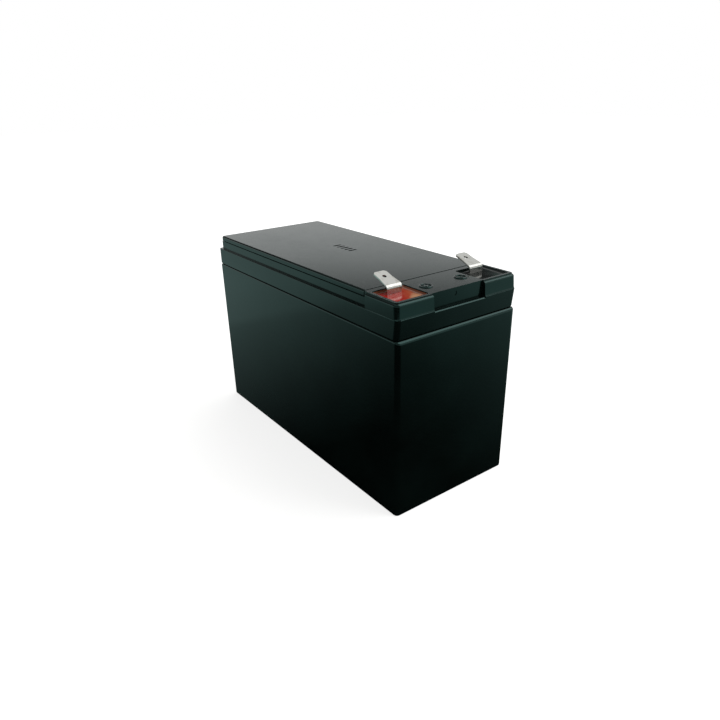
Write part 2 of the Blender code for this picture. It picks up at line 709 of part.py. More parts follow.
def shade(item):
    item.data.shade_smooth()
    item.data.set_sharp_from_angle(angle=SHARP_ANGLE)


clear_scene()
black_abs = material("black_abs", (0.012, 0.014, 0.014), 0.42)
tinned_brass = material("tinned_brass", (0.62, 0.61, 0.58), 0.3, 1.0)
lead = material("lead", (0.22, 0.23, 0.25), 0.55, 1.0)
positive_paste = material("positive_paste", (0.09, 0.045, 0.03), 0.85)
negative_paste = material("negative_paste", (0.2, 0.21, 0.22), 0.8)
glass_fibre = material("glass_fibre", (0.8, 0.8, 0.78), 0.95)
rubber = material("rubber", (0.02, 0.02, 0.02), 0.75)
red_resin = material("red_resin", (0.42, 0.02, 0.008), 0.25)
black_resin = material("black_resin", (0.015, 0.016, 0.017), 0.25)

make_case(black_abs)
make_lid(black_abs)
make_cover_plate(black_abs)
make_valve_caps(rubber)
make_tabs(tinned_brass)
make_posts(lead)
make_seal_rings(rubber)
make_resins({"positive": red_resin, "negative": black_resin})
make_plate_groups(positive_paste, negative_paste)
make_glass_mats(glass_fibre)
make_cell_links(lead)
for item in bpy.data.objects:
    shade(item)
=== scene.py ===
import math

import bmesh
import bpy
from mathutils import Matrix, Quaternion, Vector


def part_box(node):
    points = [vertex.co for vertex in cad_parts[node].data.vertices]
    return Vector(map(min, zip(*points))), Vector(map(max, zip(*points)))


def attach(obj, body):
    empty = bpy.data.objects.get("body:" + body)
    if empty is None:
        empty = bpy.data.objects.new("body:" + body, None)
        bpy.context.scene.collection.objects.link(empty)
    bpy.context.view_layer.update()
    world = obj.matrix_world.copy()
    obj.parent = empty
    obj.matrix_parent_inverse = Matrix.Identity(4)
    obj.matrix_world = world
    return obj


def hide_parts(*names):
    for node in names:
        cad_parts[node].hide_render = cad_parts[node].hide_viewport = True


mm = 0.001

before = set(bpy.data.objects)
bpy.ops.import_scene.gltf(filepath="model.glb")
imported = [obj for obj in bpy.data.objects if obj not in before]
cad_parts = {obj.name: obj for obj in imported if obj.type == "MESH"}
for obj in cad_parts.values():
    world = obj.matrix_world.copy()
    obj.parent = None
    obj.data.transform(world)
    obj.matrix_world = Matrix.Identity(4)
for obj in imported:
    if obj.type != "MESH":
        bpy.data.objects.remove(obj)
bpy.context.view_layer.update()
print("frame loaded,", len(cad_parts), "nodes")


# small helpers for working as by hand

def deselectAll():
    active = bpy.context.view_layer.objects.active
    if active and active.mode != "OBJECT":
        bpy.ops.object.mode_set(mode="OBJECT")
    bpy.ops.object.select_all(action="DESELECT")


def pickObject(obj):
    deselectAll()
    obj.select_set(True)
    bpy.context.view_layer.objects.active = obj


def near(a, b, reach=0.02):
    return abs(a - b) < reach * mm


def startBlock(name, low, high):
    # a cube stretched between two corners given in mm
    deselectAll()
    bpy.ops.mesh.primitive_cube_add(size=1, location=[(a + b) / 2 * mm for a, b in zip(low, high)])
    obj = bpy.context.object
    obj.name = obj.data.name = name
    obj.scale = [(b - a) * mm for a, b in zip(low, high)]
    bpy.ops.object.transform_apply(location=True, rotation=True, scale=True)
    return obj


def startRound(name, radius, low, high, x, y, sides=48):
    # an upright cylinder between two heights, in mm
    deselectAll()
    bpy.ops.mesh.primitive_cylinder_add(
        vertices=sides, radius=radius * mm, depth=(high - low) * mm,
        location=(x * mm, y * mm, (low + high) / 2 * mm))
    obj = bpy.context.object
    obj.name = obj.data.name = name
    bpy.ops.object.transform_apply(location=True, rotation=True, scale=True)
    return obj


def pickEdges(obj, wanted):
    pickObject(obj)
    bpy.ops.object.mode_set(mode="EDIT")
    bpy.ops.mesh.select_mode(type="EDGE")
    bpy.ops.mesh.select_all(action="DESELECT")
    mesh = bmesh.from_edit_mesh(obj.data)
    for edge in mesh.edges:
        if wanted(edge.verts[0].co, edge.verts[1].co):
            edge.select_set(True)
    bmesh.update_edit_mesh(obj.data)


def pickFaces(obj, wanted):
    pickObject(obj)
    bpy.ops.object.mode_set(mode="EDIT")
    bpy.ops.mesh.select_mode(type="FACE")
    bpy.ops.mesh.select_all(action="DESELECT")
    mesh = bmesh.from_edit_mesh(obj.data)
    for face in mesh.faces:
        if wanted(face.calc_center_median(), face.normal):
            face.select_set(True)
    bmesh.update_edit_mesh(obj.data)


def isUpright(a, b):
    return near(a.x, b.x) and near(a.y, b.y) and not near(a.z, b.z)


def onLevel(z):
    return lambda a, b: near(a.z, z * mm) and near(b.z, z * mm)


def bevelEdges(obj, wanted, width, steps):
    pickEdges(obj, wanted)
    bpy.ops.mesh.bevel(offset=width * mm, segments=steps, affect="EDGES")
    bpy.ops.object.mode_set(mode="OBJECT")
    return obj


def resizeLevel(obj, z, factorX, factorY):
    # narrows the outline that lies at one height, about the middle of the battery
    pickEdges(obj, onLevel(z))
    bpy.ops.transform.resize(value=(factorX, factorY, 1), center_override=(0, 0, 0))
    bpy.ops.object.mode_set(mode="OBJECT")


def addLoop(obj, z):
    pickObject(obj)
    bpy.ops.object.mode_set(mode="EDIT")
    bpy.ops.mesh.select_all(action="SELECT")
    bpy.ops.mesh.bisect(plane_co=(0, 0, z * mm), plane_no=(0, 0, 1))
    bpy.ops.object.mode_set(mode="OBJECT")


def joinAll(objs):
    if len(objs) == 1:
        return objs[0]
    pickObject(objs[0])
    for obj in objs[1:]:
        obj.select_set(True)
    bpy.ops.object.join()
    return objs[0]


def combine(obj, operation, tools):
    # the tools of one call don't touch each other
    tool = joinAll(tools)
    modifier = obj.modifiers.new(operation.lower(), "BOOLEAN")
    modifier.operation = operation
    modifier.object = tool
    pickObject(obj)
    bpy.ops.object.modifier_apply(modifier=modifier.name)
    bpy.data.objects.remove(tool)


def copyTo(obj, x, y):
    # its own mesh, moved inside the mesh
    pickObject(obj)
    bpy.ops.object.duplicate(linked=False)
    copy = bpy.context.object
    copy.location = (x * mm, y * mm, 0)
    bpy.ops.object.transform_apply(location=True, rotation=True, scale=True)
    return copy


def tidyMesh(obj, angle=30):
    # merges what a cut left doubled, turns the faces outward and smooths all but the sharp edges
    pickObject(obj)
    bpy.ops.object.mode_set(mode="EDIT")
    bpy.ops.mesh.select_all(action="SELECT")
    bpy.ops.mesh.remove_doubles(threshold=0.002 * mm)
    bpy.ops.mesh.normals_make_consistent(inside=False)
    bpy.ops.object.mode_set(mode="OBJECT")
    bpy.ops.object.shade_smooth_by_angle(angle=math.radians(angle))
    modifier = obj.modifiers.new("flat faces stay flat", "WEIGHTED_NORMAL")
    modifier.keep_sharp = True
    bpy.ops.object.modifier_apply(modifier=modifier.name)


def finishPiece(obj, finish, slot, *nodes):
    tidyMesh(obj)
    obj.data.materials.clear()
    obj.data.materials.append(finish)
    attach(obj, "root")
    if nodes:
        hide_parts(*nodes)
    return obj


# materials

def linear(code):
    # sRGB hex to the linear colour that the shader takes
    parts = [int(code[i:i + 2], 16) / 255 for i in (1, 3, 5)]
    return [c / 12.92 if c <= 0.04045 else ((c + 0.055) / 1.055) ** 2.4 for c in parts] + [1.0]


def addNode(tree, kind, inputs={}, **settings):
    node = tree.nodes.new(kind)
    for name, value in settings.items():
        setattr(node, name, value)
    for name, value in inputs.items():
        if isinstance(value, bpy.types.NodeSocket):
            tree.links.new(value, node.inputs[name])
        else:
            node.inputs[name].default_value = value
    return node


def startMaterial(name, sockets):
    # a Principled material with the numbers that are the same all over set on its own sockets
    made = bpy.data.materials.new(name)
    made.use_nodes = True
    shader = made.node_tree.nodes["Principled BSDF"]
    for socket, value in sockets.items():
        shader.inputs[socket].default_value = value
    return made, made.node_tree, shader


def spread(tree, value, low, high, toLow, toHigh):
    # value from low..high to toLow..toHigh
    return addNode(tree, "ShaderNodeMapRange", {
        "Value": value, "From Min": low, "From Max": high,
        "To Min": toLow, "To Max": toHigh}).outputs["Result"]


def blendColors(tree, factor, first, second, mode="MIX"):
    node = addNode(tree, "ShaderNodeMix", data_type="RGBA", blend_type=mode)
    for socket, value in ((node.inputs[0], factor), (node.inputs[6], first), (node.inputs[7], second)):
        if isinstance(value, bpy.types.NodeSocket):
            tree.links.new(value, socket)
        else:
            socket.default_value = value
    return node.outputs[2]


absLook = {
    "body": "#0a1412",        # black ABS, slightly green where light gets into it
    "shade": "#060c0a",
    "worn": "#2f3f3c",        # rubbed edges
    "dust": "#59615f",
    "sheen": "#b8fff6",       # the moulding skin mirrors blue-green where it is looked at steeply
    "grainSize": 0.55 * mm,   # real spark-eroded grain is about 0.1 mm: too fine for the picture
    "grainHeight": 0.004 * mm,
    "edgeReach": 0.35 * mm,
    "cloudSize": 28 * mm, "streakSize": 3 * mm, "speckSize": 0.9 * mm,
    "sinkAt": {"X": 24.58 * mm, "Y": 0.0},
    "sinkReach": 2.2 * mm,
    "sinkDepth": 1.6,         # in grain heights
}


def makeMouldedAbs(name, look, roughness, partitions=False):
    # moulded ABS with a fine spark-eroded grain: dull, dark, with a soft sheen at a flat angle
    made, tree, shader = startMaterial(name, {"IOR": 1.5, "Specular Tint": linear(look["sheen"])})
    place = addNode(tree, "ShaderNodeTexCoord").outputs["Object"]
    grain = addNode(tree, "ShaderNodeTexNoise", {
        "Vector": place, "Scale": 1 / look["grainSize"], "Detail": 2.0, "Roughness": 0.6}).outputs["Fac"]
    clouds = addNode(tree, "ShaderNodeTexNoise", {
        "Vector": place, "Scale": 1 / look["cloudSize"], "Detail": 4.0, "Roughness": 0.55}).outputs["Fac"]
    upright = addNode(tree, "ShaderNodeMapping", {
        "Vector": place, "Scale": (1.0, 1.0, 0.05)}).outputs["Vector"]
    streaks = addNode(tree, "ShaderNodeTexNoise", {
        "Vector": upright, "Scale": 1 / look["streakSize"], "Detail": 3.0}).outputs["Fac"]

    # rubbed edges: where the bevelled normal leaves the face's own
    flat = addNode(tree, "ShaderNodeNewGeometry").outputs["Normal"]
    softened = addNode(tree, "ShaderNodeBevel", {"Radius": look["edgeReach"]}, samples=6).outputs["Normal"]
    alike = addNode(tree, "ShaderNodeVectorMath", {
        0: flat, 1: softened}, operation="DOT_PRODUCT").outputs["Value"]
    edge = spread(tree, alike, 0.999, 0.93, 0.0, 1.0)
    rubbed = addNode(tree, "ShaderNodeMath", {
        0: edge, 1: spread(tree, clouds, 0.42, 0.62, 0.0, 0.5)}, operation="MULTIPLY").outputs["Value"]

    # dust lies on what faces up
    up = addNode(tree, "ShaderNodeSeparateXYZ", {"Vector": flat}).outputs["Z"]
    specks = addNode(tree, "ShaderNodeTexNoise", {
        "Vector": place, "Scale": 1 / look["speckSize"], "Detail": 1.0}).outputs["Fac"]
    dust = addNode(tree, "ShaderNodeMath", {
        0: spread(tree, specks, 0.66, 0.76, 0.0, 0.35), 1: spread(tree, up, 0.8, 1.0, 0.0, 1.0)},
        operation="MULTIPLY").outputs["Value"]

    color = blendColors(
        tree, spread(tree, clouds, 0.35, 0.65, 0.0, 1.0), linear(look["shade"]), linear(look["body"]))
    color = blendColors(tree, rubbed, color, linear(look["worn"]))
    color = blendColors(tree, dust, color, linear(look["dust"]))
    tree.links.new(color, shader.inputs["Base Color"])

    rough = addNode(tree, "ShaderNodeMath", {
        0: spread(tree, clouds, 0.3, 0.7, roughness - 0.02, roughness + 0.02),
        1: spread(tree, streaks, 0.3, 0.7, -0.015, 0.015)}, operation="ADD").outputs["Value"]
    tree.links.new(rough, shader.inputs["Roughness"])

    height = spread(tree, grain, 0.0, 1.0, 0.0, 1.0)
    if partitions:
        # the outer wall has sunk a little where the inner walls meet it
        sides = addNode(tree, "ShaderNodeSeparateXYZ", {"Vector": place})
        for axis, centre in look["sinkAt"].items():
            away = addNode(tree, "ShaderNodeMath", {
                0: sides.outputs[axis]}, operation="ABSOLUTE").outputs["Value"]
            away = addNode(tree, "ShaderNodeMath", {
                0: away, 1: centre}, operation="SUBTRACT").outputs["Value"]
            away = addNode(tree, "ShaderNodeMath", {0: away}, operation="ABSOLUTE").outputs["Value"]
            dip = addNode(tree, "ShaderNodeMapRange", {
                "Value": away, "From Min": 0.0, "From Max": look["sinkReach"],
                "To Min": -look["sinkDepth"], "To Max": 0.0},
                interpolation_type="SMOOTHSTEP").outputs["Result"]
            height = addNode(tree, "ShaderNodeMath", {0: height, 1: dip}, operation="ADD").outputs["Value"]
    bump = addNode(tree, "ShaderNodeBump", {
        "Height": height, "Strength": 0.6, "Distance": look["grainHeight"]}).outputs["Normal"]
    tree.links.new(bump, shader.inputs["Normal"])
    return made


tabLook = {
    "metal": "#c6c7c2",       # tin over brass
    "stain": "#9d9a90",
    "brass": "#b89a62",       # shows at the sheared edges
    "lineSize": 0.22 * mm,    # rolling lines, drawn coarser than the real 0.05 mm
    "lineHeight": 0.006 * mm,
    "patchSize": 3.5 * mm,
    "edgeReach": 0.15 * mm,
}


def makeTinnedBrass(name, look):
    # brass strip, tinned and rolled: grey, half bright, with fine lines along the strip
    made, tree, shader = startMaterial(name, {"Metallic": 1.0})
    place = addNode(tree, "ShaderNodeTexCoord").outputs["Object"]
    along = addNode(tree, "ShaderNodeMapping", {
        "Vector": place, "Scale": (0.06, 1.0, 0.06)}).outputs["Vector"]
    lines = addNode(tree, "ShaderNodeTexNoise", {
        "Vector": along, "Scale": 1 / look["lineSize"], "Detail": 2.0}).outputs["Fac"]
    patches = addNode(tree, "ShaderNodeTexNoise", {
        "Vector": place, "Scale": 1 / look["patchSize"], "Detail": 5.0, "Roughness": 0.6}).outputs["Fac"]
    flat = addNode(tree, "ShaderNodeNewGeometry").outputs["Normal"]
    softened = addNode(tree, "ShaderNodeBevel", {"Radius": look["edgeReach"]}, samples=6).outputs["Normal"]
    alike = addNode(tree, "ShaderNodeVectorMath", {
        0: flat, 1: softened}, operation="DOT_PRODUCT").outputs["Value"]
    edge = spread(tree, alike, 0.99, 0.85, 0.0, 0.35)
    color = blendColors(
        tree, spread(tree, patches, 0.5, 0.72, 0.0, 0.7), linear(look["metal"]), linear(look["stain"]))
    color = blendColors(tree, edge, color, linear(look["brass"]))
    tree.links.new(color, shader.inputs["Base Color"])
    rough = addNode(tree, "ShaderNodeMath", {
        0: spread(tree, lines, 0.3, 0.7, 0.14, 0.22),
        1: spread(tree, patches, 0.45, 0.7, 0.0, 0.1)}, operation="ADD").outputs["Value"]
    tree.links.new(rough, shader.inputs["Roughness"])
    bump = addNode(tree, "ShaderNodeBump", {
        "Height": lines, "Strength": 0.5, "Distance": look["lineHeight"]}).outputs["Normal"]
    tree.links.new(bump, shader.inputs["Normal"])
    return made


# deep is the resin's own colour; the other tones are painted reflections on its skin
resinLooks = {
    "red": {"deep": "#b81a06", "paintedPale": "#be5832", "paintedFrontGlare": "#d6a47a", "edge": "#84503a", "side": -1},
    "black": {"deep": "#070f0e", "paintedPale": "#1c2625", "paintedFrontGlare": "#34423f", "edge": "#1c2624", "side": 1},
}
pocketLook = {
    "x": 64.7 * mm, "y": 22.3 * mm, "half": 7.5 * mm,
    "rimFrom": 1.9 * mm, "rimTo": 0.5 * mm,  # the edge tone sets in between these distances
    "rippleSize": 4 * mm, "rippleHeight": 0.015 * mm,
}


def makeResin(name, look, pocket):
    # poured epoxy, pigmented: a smooth skin with a slow ripple, a little dulled, with painted reflections:
    # paler toward the inner side, a pale band at the front and a pale tone along the walls
    made, tree, shader = startMaterial(name, {"IOR": 1.53, "Specular IOR Level": 0.3})
    place = addNode(tree, "ShaderNodeTexCoord").outputs["Object"]
    ripple = addNode(tree, "ShaderNodeTexNoise", {
        "Vector": place, "Scale": 1 / pocket["rippleSize"], "Detail": 2.0}).outputs["Fac"]
    centred = addNode(tree, "ShaderNodeMapping", {
        "Vector": place, "Location": (-pocket["x"], -look["side"] * pocket["y"], 0.0)}).outputs["Vector"]
    outward = addNode(tree, "ShaderNodeSeparateXYZ", {"Vector": addNode(
        tree, "ShaderNodeVectorMath", {0: centred}, operation="ABSOLUTE").outputs["Vector"]})
    reach = addNode(tree, "ShaderNodeMath", {
        0: outward.outputs["X"], 1: outward.outputs["Y"]}, operation="MAXIMUM").outputs["Value"]
    uneven = addNode(tree, "ShaderNodeMath", {
        0: reach, 1: spread(tree, ripple, 0.3, 0.7, -0.5 * mm, 0.5 * mm)}, operation="ADD").outputs["Value"]
    rim = spread(
        tree, uneven, pocket["half"] - pocket["rimFrom"], pocket["half"] - pocket["rimTo"], 0.0, 1.0)
    color = linear(look["deep"])
    for direction, low, high, share, tone in (  # painted reflections: paler toward the inner side, a pale band at the front
        ((0.5, 0.8, 0.0), 0.0, 5.0, 1.0, "paintedPale"), ((0.9, 0.4, 0.0), 3.9, 5.6, 0.8, "paintedFrontGlare"),
    ):
        along = addNode(tree, "ShaderNodeVectorMath", {0: centred, 1: direction}, operation="DOT_PRODUCT")
        uneven = addNode(tree, "ShaderNodeMath", {
            0: along.outputs["Value"], 1: spread(tree, ripple, 0.3, 0.7, -1.2 * mm, 1.2 * mm)},
            operation="ADD").outputs["Value"]
        paintedReflection = spread(tree, uneven, low * mm, high * mm, 0.0, share)
        color = blendColors(tree, paintedReflection, color, linear(look[tone]))
    # painted reflection where the resin climbs the walls
    color = blendColors(tree, rim, color, linear(look["edge"]))
    tree.links.new(color, shader.inputs["Base Color"])
    tree.links.new(spread(tree, ripple, 0.3, 0.7, 0.04, 0.1), shader.inputs["Roughness"])
    bump = addNode(tree, "ShaderNodeBump", {
        "Height": ripple, "Strength": 0.6, "Distance": pocket["rippleHeight"]}).outputs["Normal"]
    tree.links.new(bump, shader.inputs["Normal"])
    return made


def makeDull(name, first, second, size, roughness, metallic, height):
    # cast or pasted stuff inside the cells: two tones mottled at the size of its grain, dull
    made, tree, shader = startMaterial(name, {"Metallic": metallic})
    place = addNode(tree, "ShaderNodeTexCoord").outputs["Object"]
    mottle = addNode(tree, "ShaderNodeTexNoise", {
        "Vector": place, "Scale": 1 / (size * mm), "Detail": 6.0, "Roughness": 0.65}).outputs["Fac"]
    color = blendColors(tree, spread(tree, mottle, 0.35, 0.65, 0.0, 1.0), linear(first), linear(second))
    tree.links.new(color, shader.inputs["Base Color"])
    tree.links.new(
        spread(tree, mottle, 0.3, 0.7, roughness - 0.08, roughness + 0.08), shader.inputs["Roughness"])
    bump = addNode(tree, "ShaderNodeBump", {
        "Height": mottle, "Strength": 0.8, "Distance": height * mm}).outputs["Normal"]
    tree.links.new(bump, shader.inputs["Normal"])
    return made


caseAbs = makeMouldedAbs("moulded_abs_case", absLook, 0.13, partitions=True)
lidAbs = makeMouldedAbs("moulded_abs_lid", absLook, 0.14)
tinnedBrass = makeTinnedBrass("tinned_brass_strip", tabLook)
redResin = makeResin("red_epoxy_poured", resinLooks["red"], pocketLook)
blackResin = makeResin("black_epoxy_poured", resinLooks["black"], pocketLook)
innerFinishes = {
    "lead": makeDull("cast_lead", "#6f7378", "#8e9298", 1.5, 0.5, 1.0, 0.05),
    "positive_paste": makeDull("brown_lead_dioxide_paste", "#3a2419", "#553526", 0.8, 0.85, 0.0, 0.04),
    "negative_paste": makeDull("grey_sponge_lead_paste", "#6d7174", "#888c8e", 0.8, 0.8, 0.0, 0.04),
    "glass_fibre": makeDull("glass_fibre_mat", "#cfcfc8", "#ecebe4", 0.35, 0.9, 0.0, 0.06),
    "rubber": makeDull("moulded_rubber", "#141414", "#232323", 0.5, 0.75, 0.0, 0.02),
}
print("materials made")


# case

caseSizes = {
    "halfLength": 75.5, "halfWidth": 32.498, "height": 79.1,
    "corner": 2.0, "topEdge": 1.5, "sideEdge": 0.8, "footEdge": 0.6, "draft": 0.15,
    "floor": 2.5, "cellLength": 47.667, "cellWidth": 29.25, "cellCorner": 1.0, "partition": 1.5,
    "linkGap": 0.3,
}


def cellPlaces(s):
    pitchX = s["cellLength"] + s["partition"]
    pitchY = s["cellWidth"] + s["partition"]
    return [(pitchX * column, pitchY * row) for row in (-0.5, 0.5) for column in (-1, 0, 1)]


def cellBlock(name, s, inset, low, high):
    half = (s["cellLength"] / 2 - inset, s["cellWidth"] / 2 - inset)
    block = startBlock(name, (-half[0], -half[1], low), (half[0], half[1], high))
    bevelEdges(block, isUpright, s["cellCorner"], 5)
    copies = [copyTo(block, x, y) for x, y in cellPlaces(s)]
    bpy.data.objects.remove(block)
    return copies


def buildCase(s):
    x, y, top = s["halfLength"], s["halfWidth"], s["height"]
    case = startBlock("jar", (-x, -y, 0), (x, y, top))
    bevelEdges(case, isUpright, s["corner"], 8)
    resizeLevel(case, 0, 1 - s["draft"] / x, 1 - s["draft"] / y)
    bevelEdges(case, onLevel(0), s["footEdge"], 3)
    bevelEdges(case, onLevel(top), s["topEdge"], 6)
    smaller = (s["sideEdge"] / s["topEdge"]) ** 0.25
    # the round is smaller along the sides than at the ends, and changes over in the corner
    for side in (-1, 1):
        for turn in (20, 35, 50, 65):
            pickEdges(case, lambda a, b: all(
                p.z > (top - s["topEdge"] - 0.01) * mm and math.atan2(
                    side * p.y - (y - s["corner"]) * mm, max(abs(p.x) - (x - s["corner"]) * mm, 0)
                ) > math.radians(turn) for p in (a, b)))
            bpy.ops.transform.resize(
                value=(1, smaller, smaller), center_override=(0, side * y * mm, top * mm))
            bpy.ops.object.mode_set(mode="OBJECT")
    combine(case, "DIFFERENCE", cellBlock("cell", s, 0, s["floor"], top + 3))
    notches = []
    for number in range(1, 6):  # the walls between the cells are lower under the links
        low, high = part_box(f"cell_link_{number}")
        notches.append(startBlock("notch", [c / mm - s["linkGap"] for c in low], (
            high.x / mm + s["linkGap"], high.y / mm + s["linkGap"], top + 3)))
    combine(case, "DIFFERENCE", notches)
    return finishPiece(case, caseAbs, "black_abs", "case")


buildCase(caseSizes)
print("case built")


# lid

lidSizes = {
    "foot": 79.4, "ledge": 87.4, "seat": 91.4, "shoulder": 93.5, "top": 94.0,
    "footEdge": 0.3, "draft": 0.1, "shoulderEdge": 1.0, "stepInset": 0.08, "topEdge": 0.12,
    "endStep": 0.4, "endStepTop": 88.0, "endLean": 0.4, "skirtLean": 0.9,  # how the end face stands back
    "bandInset": 1.3, "bandCorner": 1.8, "blockX": 54.2, "cheekX": 55.9, "wall": 2.0, "deck": 82.5,
    "pocketX": 64.7, "pocketY": 22.3, "pocketLength": 15.4, "pocketWidth": 15.8, "pocketFloor": 88.0,
    "recessY": 13.9, "recessDepth": 2.15, "recessFloor": 87.2, "recessEdge": 0.4,
    "rim": 1.2, "rimDrop": 1.3, "gap": 0.3,
    "neckRadius": 4.5, "neckBore": 2.5, "neckTop": 89.1,
    "bushingRadius": 7.6, "bushingFoot": 82.8, "bushingTop": 86.5,
    "postPassage": 4.3, "ringSeat": 6.4, "ringSeatZ": 86.2,
    "lowRoom": (2.3, 71.45, 28.45, 86.0), "highRoom": (57.0, 2.33, 85.5, 71.42, 12.4, 92.0),
    "pocketCorner": 0.9, "gateRadius": 1.1, "gateDepth": 0.25, "gateAt": (-1.6, 91.6), "softEdge": 0.22,
}
# a shoulderEdge of 0.8 makes the booleans lose the lid's outer body: look at its volume after a change


def buildLid(s, c):
    x, y = c["halfLength"], c["halfWidth"]
    beyond, above = 90, 100
    bandX, bandY = x - s["bandInset"], y - s["bandInset"]

    # outside form: skirt, end face set back above it, round shoulder, and the small step up to the top face
    lid = startBlock("cover", (-x, -y, s["foot"]), (x, y, s["shoulder"]))
    bevelEdges(lid, isUpright, c["corner"], 8)
    addLoop(lid, s["ledge"])
    addLoop(lid, s["endStepTop"])
    resizeLevel(lid, s["shoulder"], 1 - s["draft"] / x, 1 - s["draft"] / y)
    for level, back in (
        (s["foot"], s["skirtLean"]),
        (s["endStepTop"], s["endStep"]),
        (s["shoulder"], s["endStep"] + s["endLean"]),
    ):
        pickEdges(lid, lambda a, b: onLevel(level)(a, b) and min(a.x, b.x) > (x - 5) * mm)
        bpy.ops.transform.translate(value=(-back * mm, 0, 0))
        bpy.ops.object.mode_set(mode="OBJECT")
    bevelEdges(lid, onLevel(s["foot"]), s["footEdge"], 2)
    bevelEdges(lid, onLevel(s["shoulder"]), s["shoulderEdge"], 6)
    pickFaces(lid, lambda centre, normal: normal.z > 0.99 and near(centre.z, s["shoulder"] * mm))
    bpy.ops.mesh.inset(thickness=s["stepInset"] * mm)
    bpy.ops.mesh.extrude_region_move(
        TRANSFORM_OT_translate={"value": (0, 0, (s["top"] - s["shoulder"]) * mm)})
    bpy.ops.object.mode_set(mode="OBJECT")
    bevelEdges(lid, onLevel(s["top"]), s["topEdge"], 2)

    # seat of the cover plate, then the ledge round the band that carries it
    combine(lid, "DIFFERENCE", [
        startBlock("seat", (-beyond, -beyond, s["seat"]), (s["blockX"], beyond, above))])
    ledge = startBlock("ledge", (-beyond, -beyond, s["ledge"]), (s["cheekX"], beyond, above))
    band = startBlock("band", (-bandX, -bandY, s["ledge"] - 1), (beyond + 5, bandY, above + 1))
    bevelEdges(band, isUpright, s["bandCorner"], 6)
    combine(ledge, "DIFFERENCE", [band])
    combine(lid, "DIFFERENCE", [ledge])

    # soften the edges that those cuts left outside
    edge = s["softEdge"]
    bevelEdges(lid, lambda a, b: onLevel(s["ledge"])(a, b) and min(
        max(abs(p.y) - bandY * mm, -p.x - bandX * mm) for p in (a, b)) > 0.5 * mm, edge, 3)
    bevelEdges(lid, lambda a, b: isUpright(a, b) and near(a.x, s["cheekX"] * mm) and min(
        abs(a.y), abs(b.y)) > bandY * mm + 0.5 * mm, edge, 3)

    # pan under the cover plate, terminal pockets and the recess in the end face
    cutters = [startBlock("pan", (s["wall"] - bandX, s["wall"] - bandY, s["deck"]), (
        s["blockX"] - s["wall"], bandY - s["wall"], above))]
    bevelEdges(cutters[0], isUpright, s["bandCorner"], 5)
    for side in (-1, 1):
        half = (s["pocketLength"] / 2, s["pocketWidth"] / 2)
        pocket = startBlock("pocket", (
            s["pocketX"] - half[0], side * s["pocketY"] - half[1], s["pocketFloor"]), (
            s["pocketX"] + half[0], side * s["pocketY"] + half[1], above))
        bevelEdges(pocket, isUpright, s["pocketCorner"], 5)
        cutters.append(pocket)
    recess = startBlock("recess", (x - s["recessDepth"], -s["recessY"], s["recessFloor"]), (
        beyond, s["recessY"], above))
    cutters.append(recess)
    combine(lid, "DIFFERENCE", cutters)
    bar = startRound("chamfer", s["recessEdge"], 0.01 - s["recessY"], s["recessY"] - 0.01, 0, 0, 4)
    bar.rotation_euler = (math.radians(90), 0, 0)
    bar.location = ((x - 0.02) * mm, 0, s["recessFloor"] * mm)
    pickObject(bar)
    bpy.ops.object.transform_apply(location=True, rotation=True, scale=True)
    combine(lid, "DIFFERENCE", [bar])
    bevelEdges(
        lid, lambda a, b: onLevel(s["top"])(a, b) and min(a.x, b.x) > (s["pocketX"] - 8) * mm and all(
            abs(abs(p.y) - s["pocketY"] * mm) < (s["pocketWidth"] / 2 + 0.05) * mm
            and p.x < (s["pocketX"] + s["pocketLength"] / 2 + 0.05) * mm for p in (a, b)), edge, 3)
    bevelEdges(lid, lambda a, b: near(a.x, (x - s["recessDepth"]) * mm) and near(b.x, a.x) and onLevel(
        s["top"])(a, b), edge, 3)
    gate = startRound("gate", s["gateRadius"], 0, 2 * s["gateDepth"], 0, 0, 32)
    gate.rotation_euler = (0, math.radians(90), 0)
    gate.location = ((x - s["recessDepth"] - s["gateDepth"]) * mm, s["gateAt"][0] * mm, s["gateAt"][1] * mm)
    pickObject(gate)
    bpy.ops.object.transform_apply(location=True, rotation=True, scale=True)
    combine(lid, "DIFFERENCE", [gate])

    # inside: rims that drop into the cells, rooms under the terminal end, valve necks and post bushings
    combine(lid, "UNION", cellBlock("rim", c, s["gap"], s["foot"] - s["rimDrop"], s["foot"] + 0.5))
    combine(lid, "DIFFERENCE", cellBlock(
        "bore", c, s["gap"] + s["rim"], s["foot"] - s["rimDrop"] - 0.5, s["foot"] + 0.02))
    for low, high in (
        ((s["blockX"], s["lowRoom"][0], s["foot"] - 0.5), s["lowRoom"][1:]),
        (s["highRoom"][:3], s["highRoom"][3:]),
    ):
        rooms = [
            startBlock("room", low, high),
            startBlock("room", (low[0], -high[1], low[2]), (high[0], -low[1], high[2])),
        ]
        for room in rooms:
            bevelEdges(room, isUpright, c["cellCorner"], 5)
        combine(lid, "DIFFERENCE", rooms)
    fused, bored, seats = [], [], []
    for number in range(1, 7):
        low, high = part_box(f"valve_cap_{number}")
        at = ((low.x + high.x) / 2 / mm, (low.y + high.y) / 2 / mm)
        fused.append(startRound("neck", s["neckRadius"], s["deck"] - 0.5, s["neckTop"], *at))
        bored.append(startRound("bore", s["neckBore"], s["foot"] - 0.5, s["neckTop"] + 0.5, *at))
    for side in (-1, 1):
        at = (s["pocketX"], side * s["pocketY"])
        fused.append(startRound("bushing", s["bushingRadius"], s["bushingFoot"], s["bushingTop"], *at))
        bored.append(startRound(
            "bore", s["postPassage"], s["bushingFoot"] - 0.5, s["ringSeatZ"] + 0.5, *at))
        seats.append(startRound("seat", s["ringSeat"], s["ringSeatZ"], s["pocketFloor"] + 0.5, *at))
    combine(lid, "UNION", fused)
    combine(lid, "DIFFERENCE", bored)
    combine(lid, "DIFFERENCE", seats)
    return finishPiece(lid, lidAbs, "black_abs", "lid")


buildLid(lidSizes, caseSizes)
print("lid built")


# cover plate

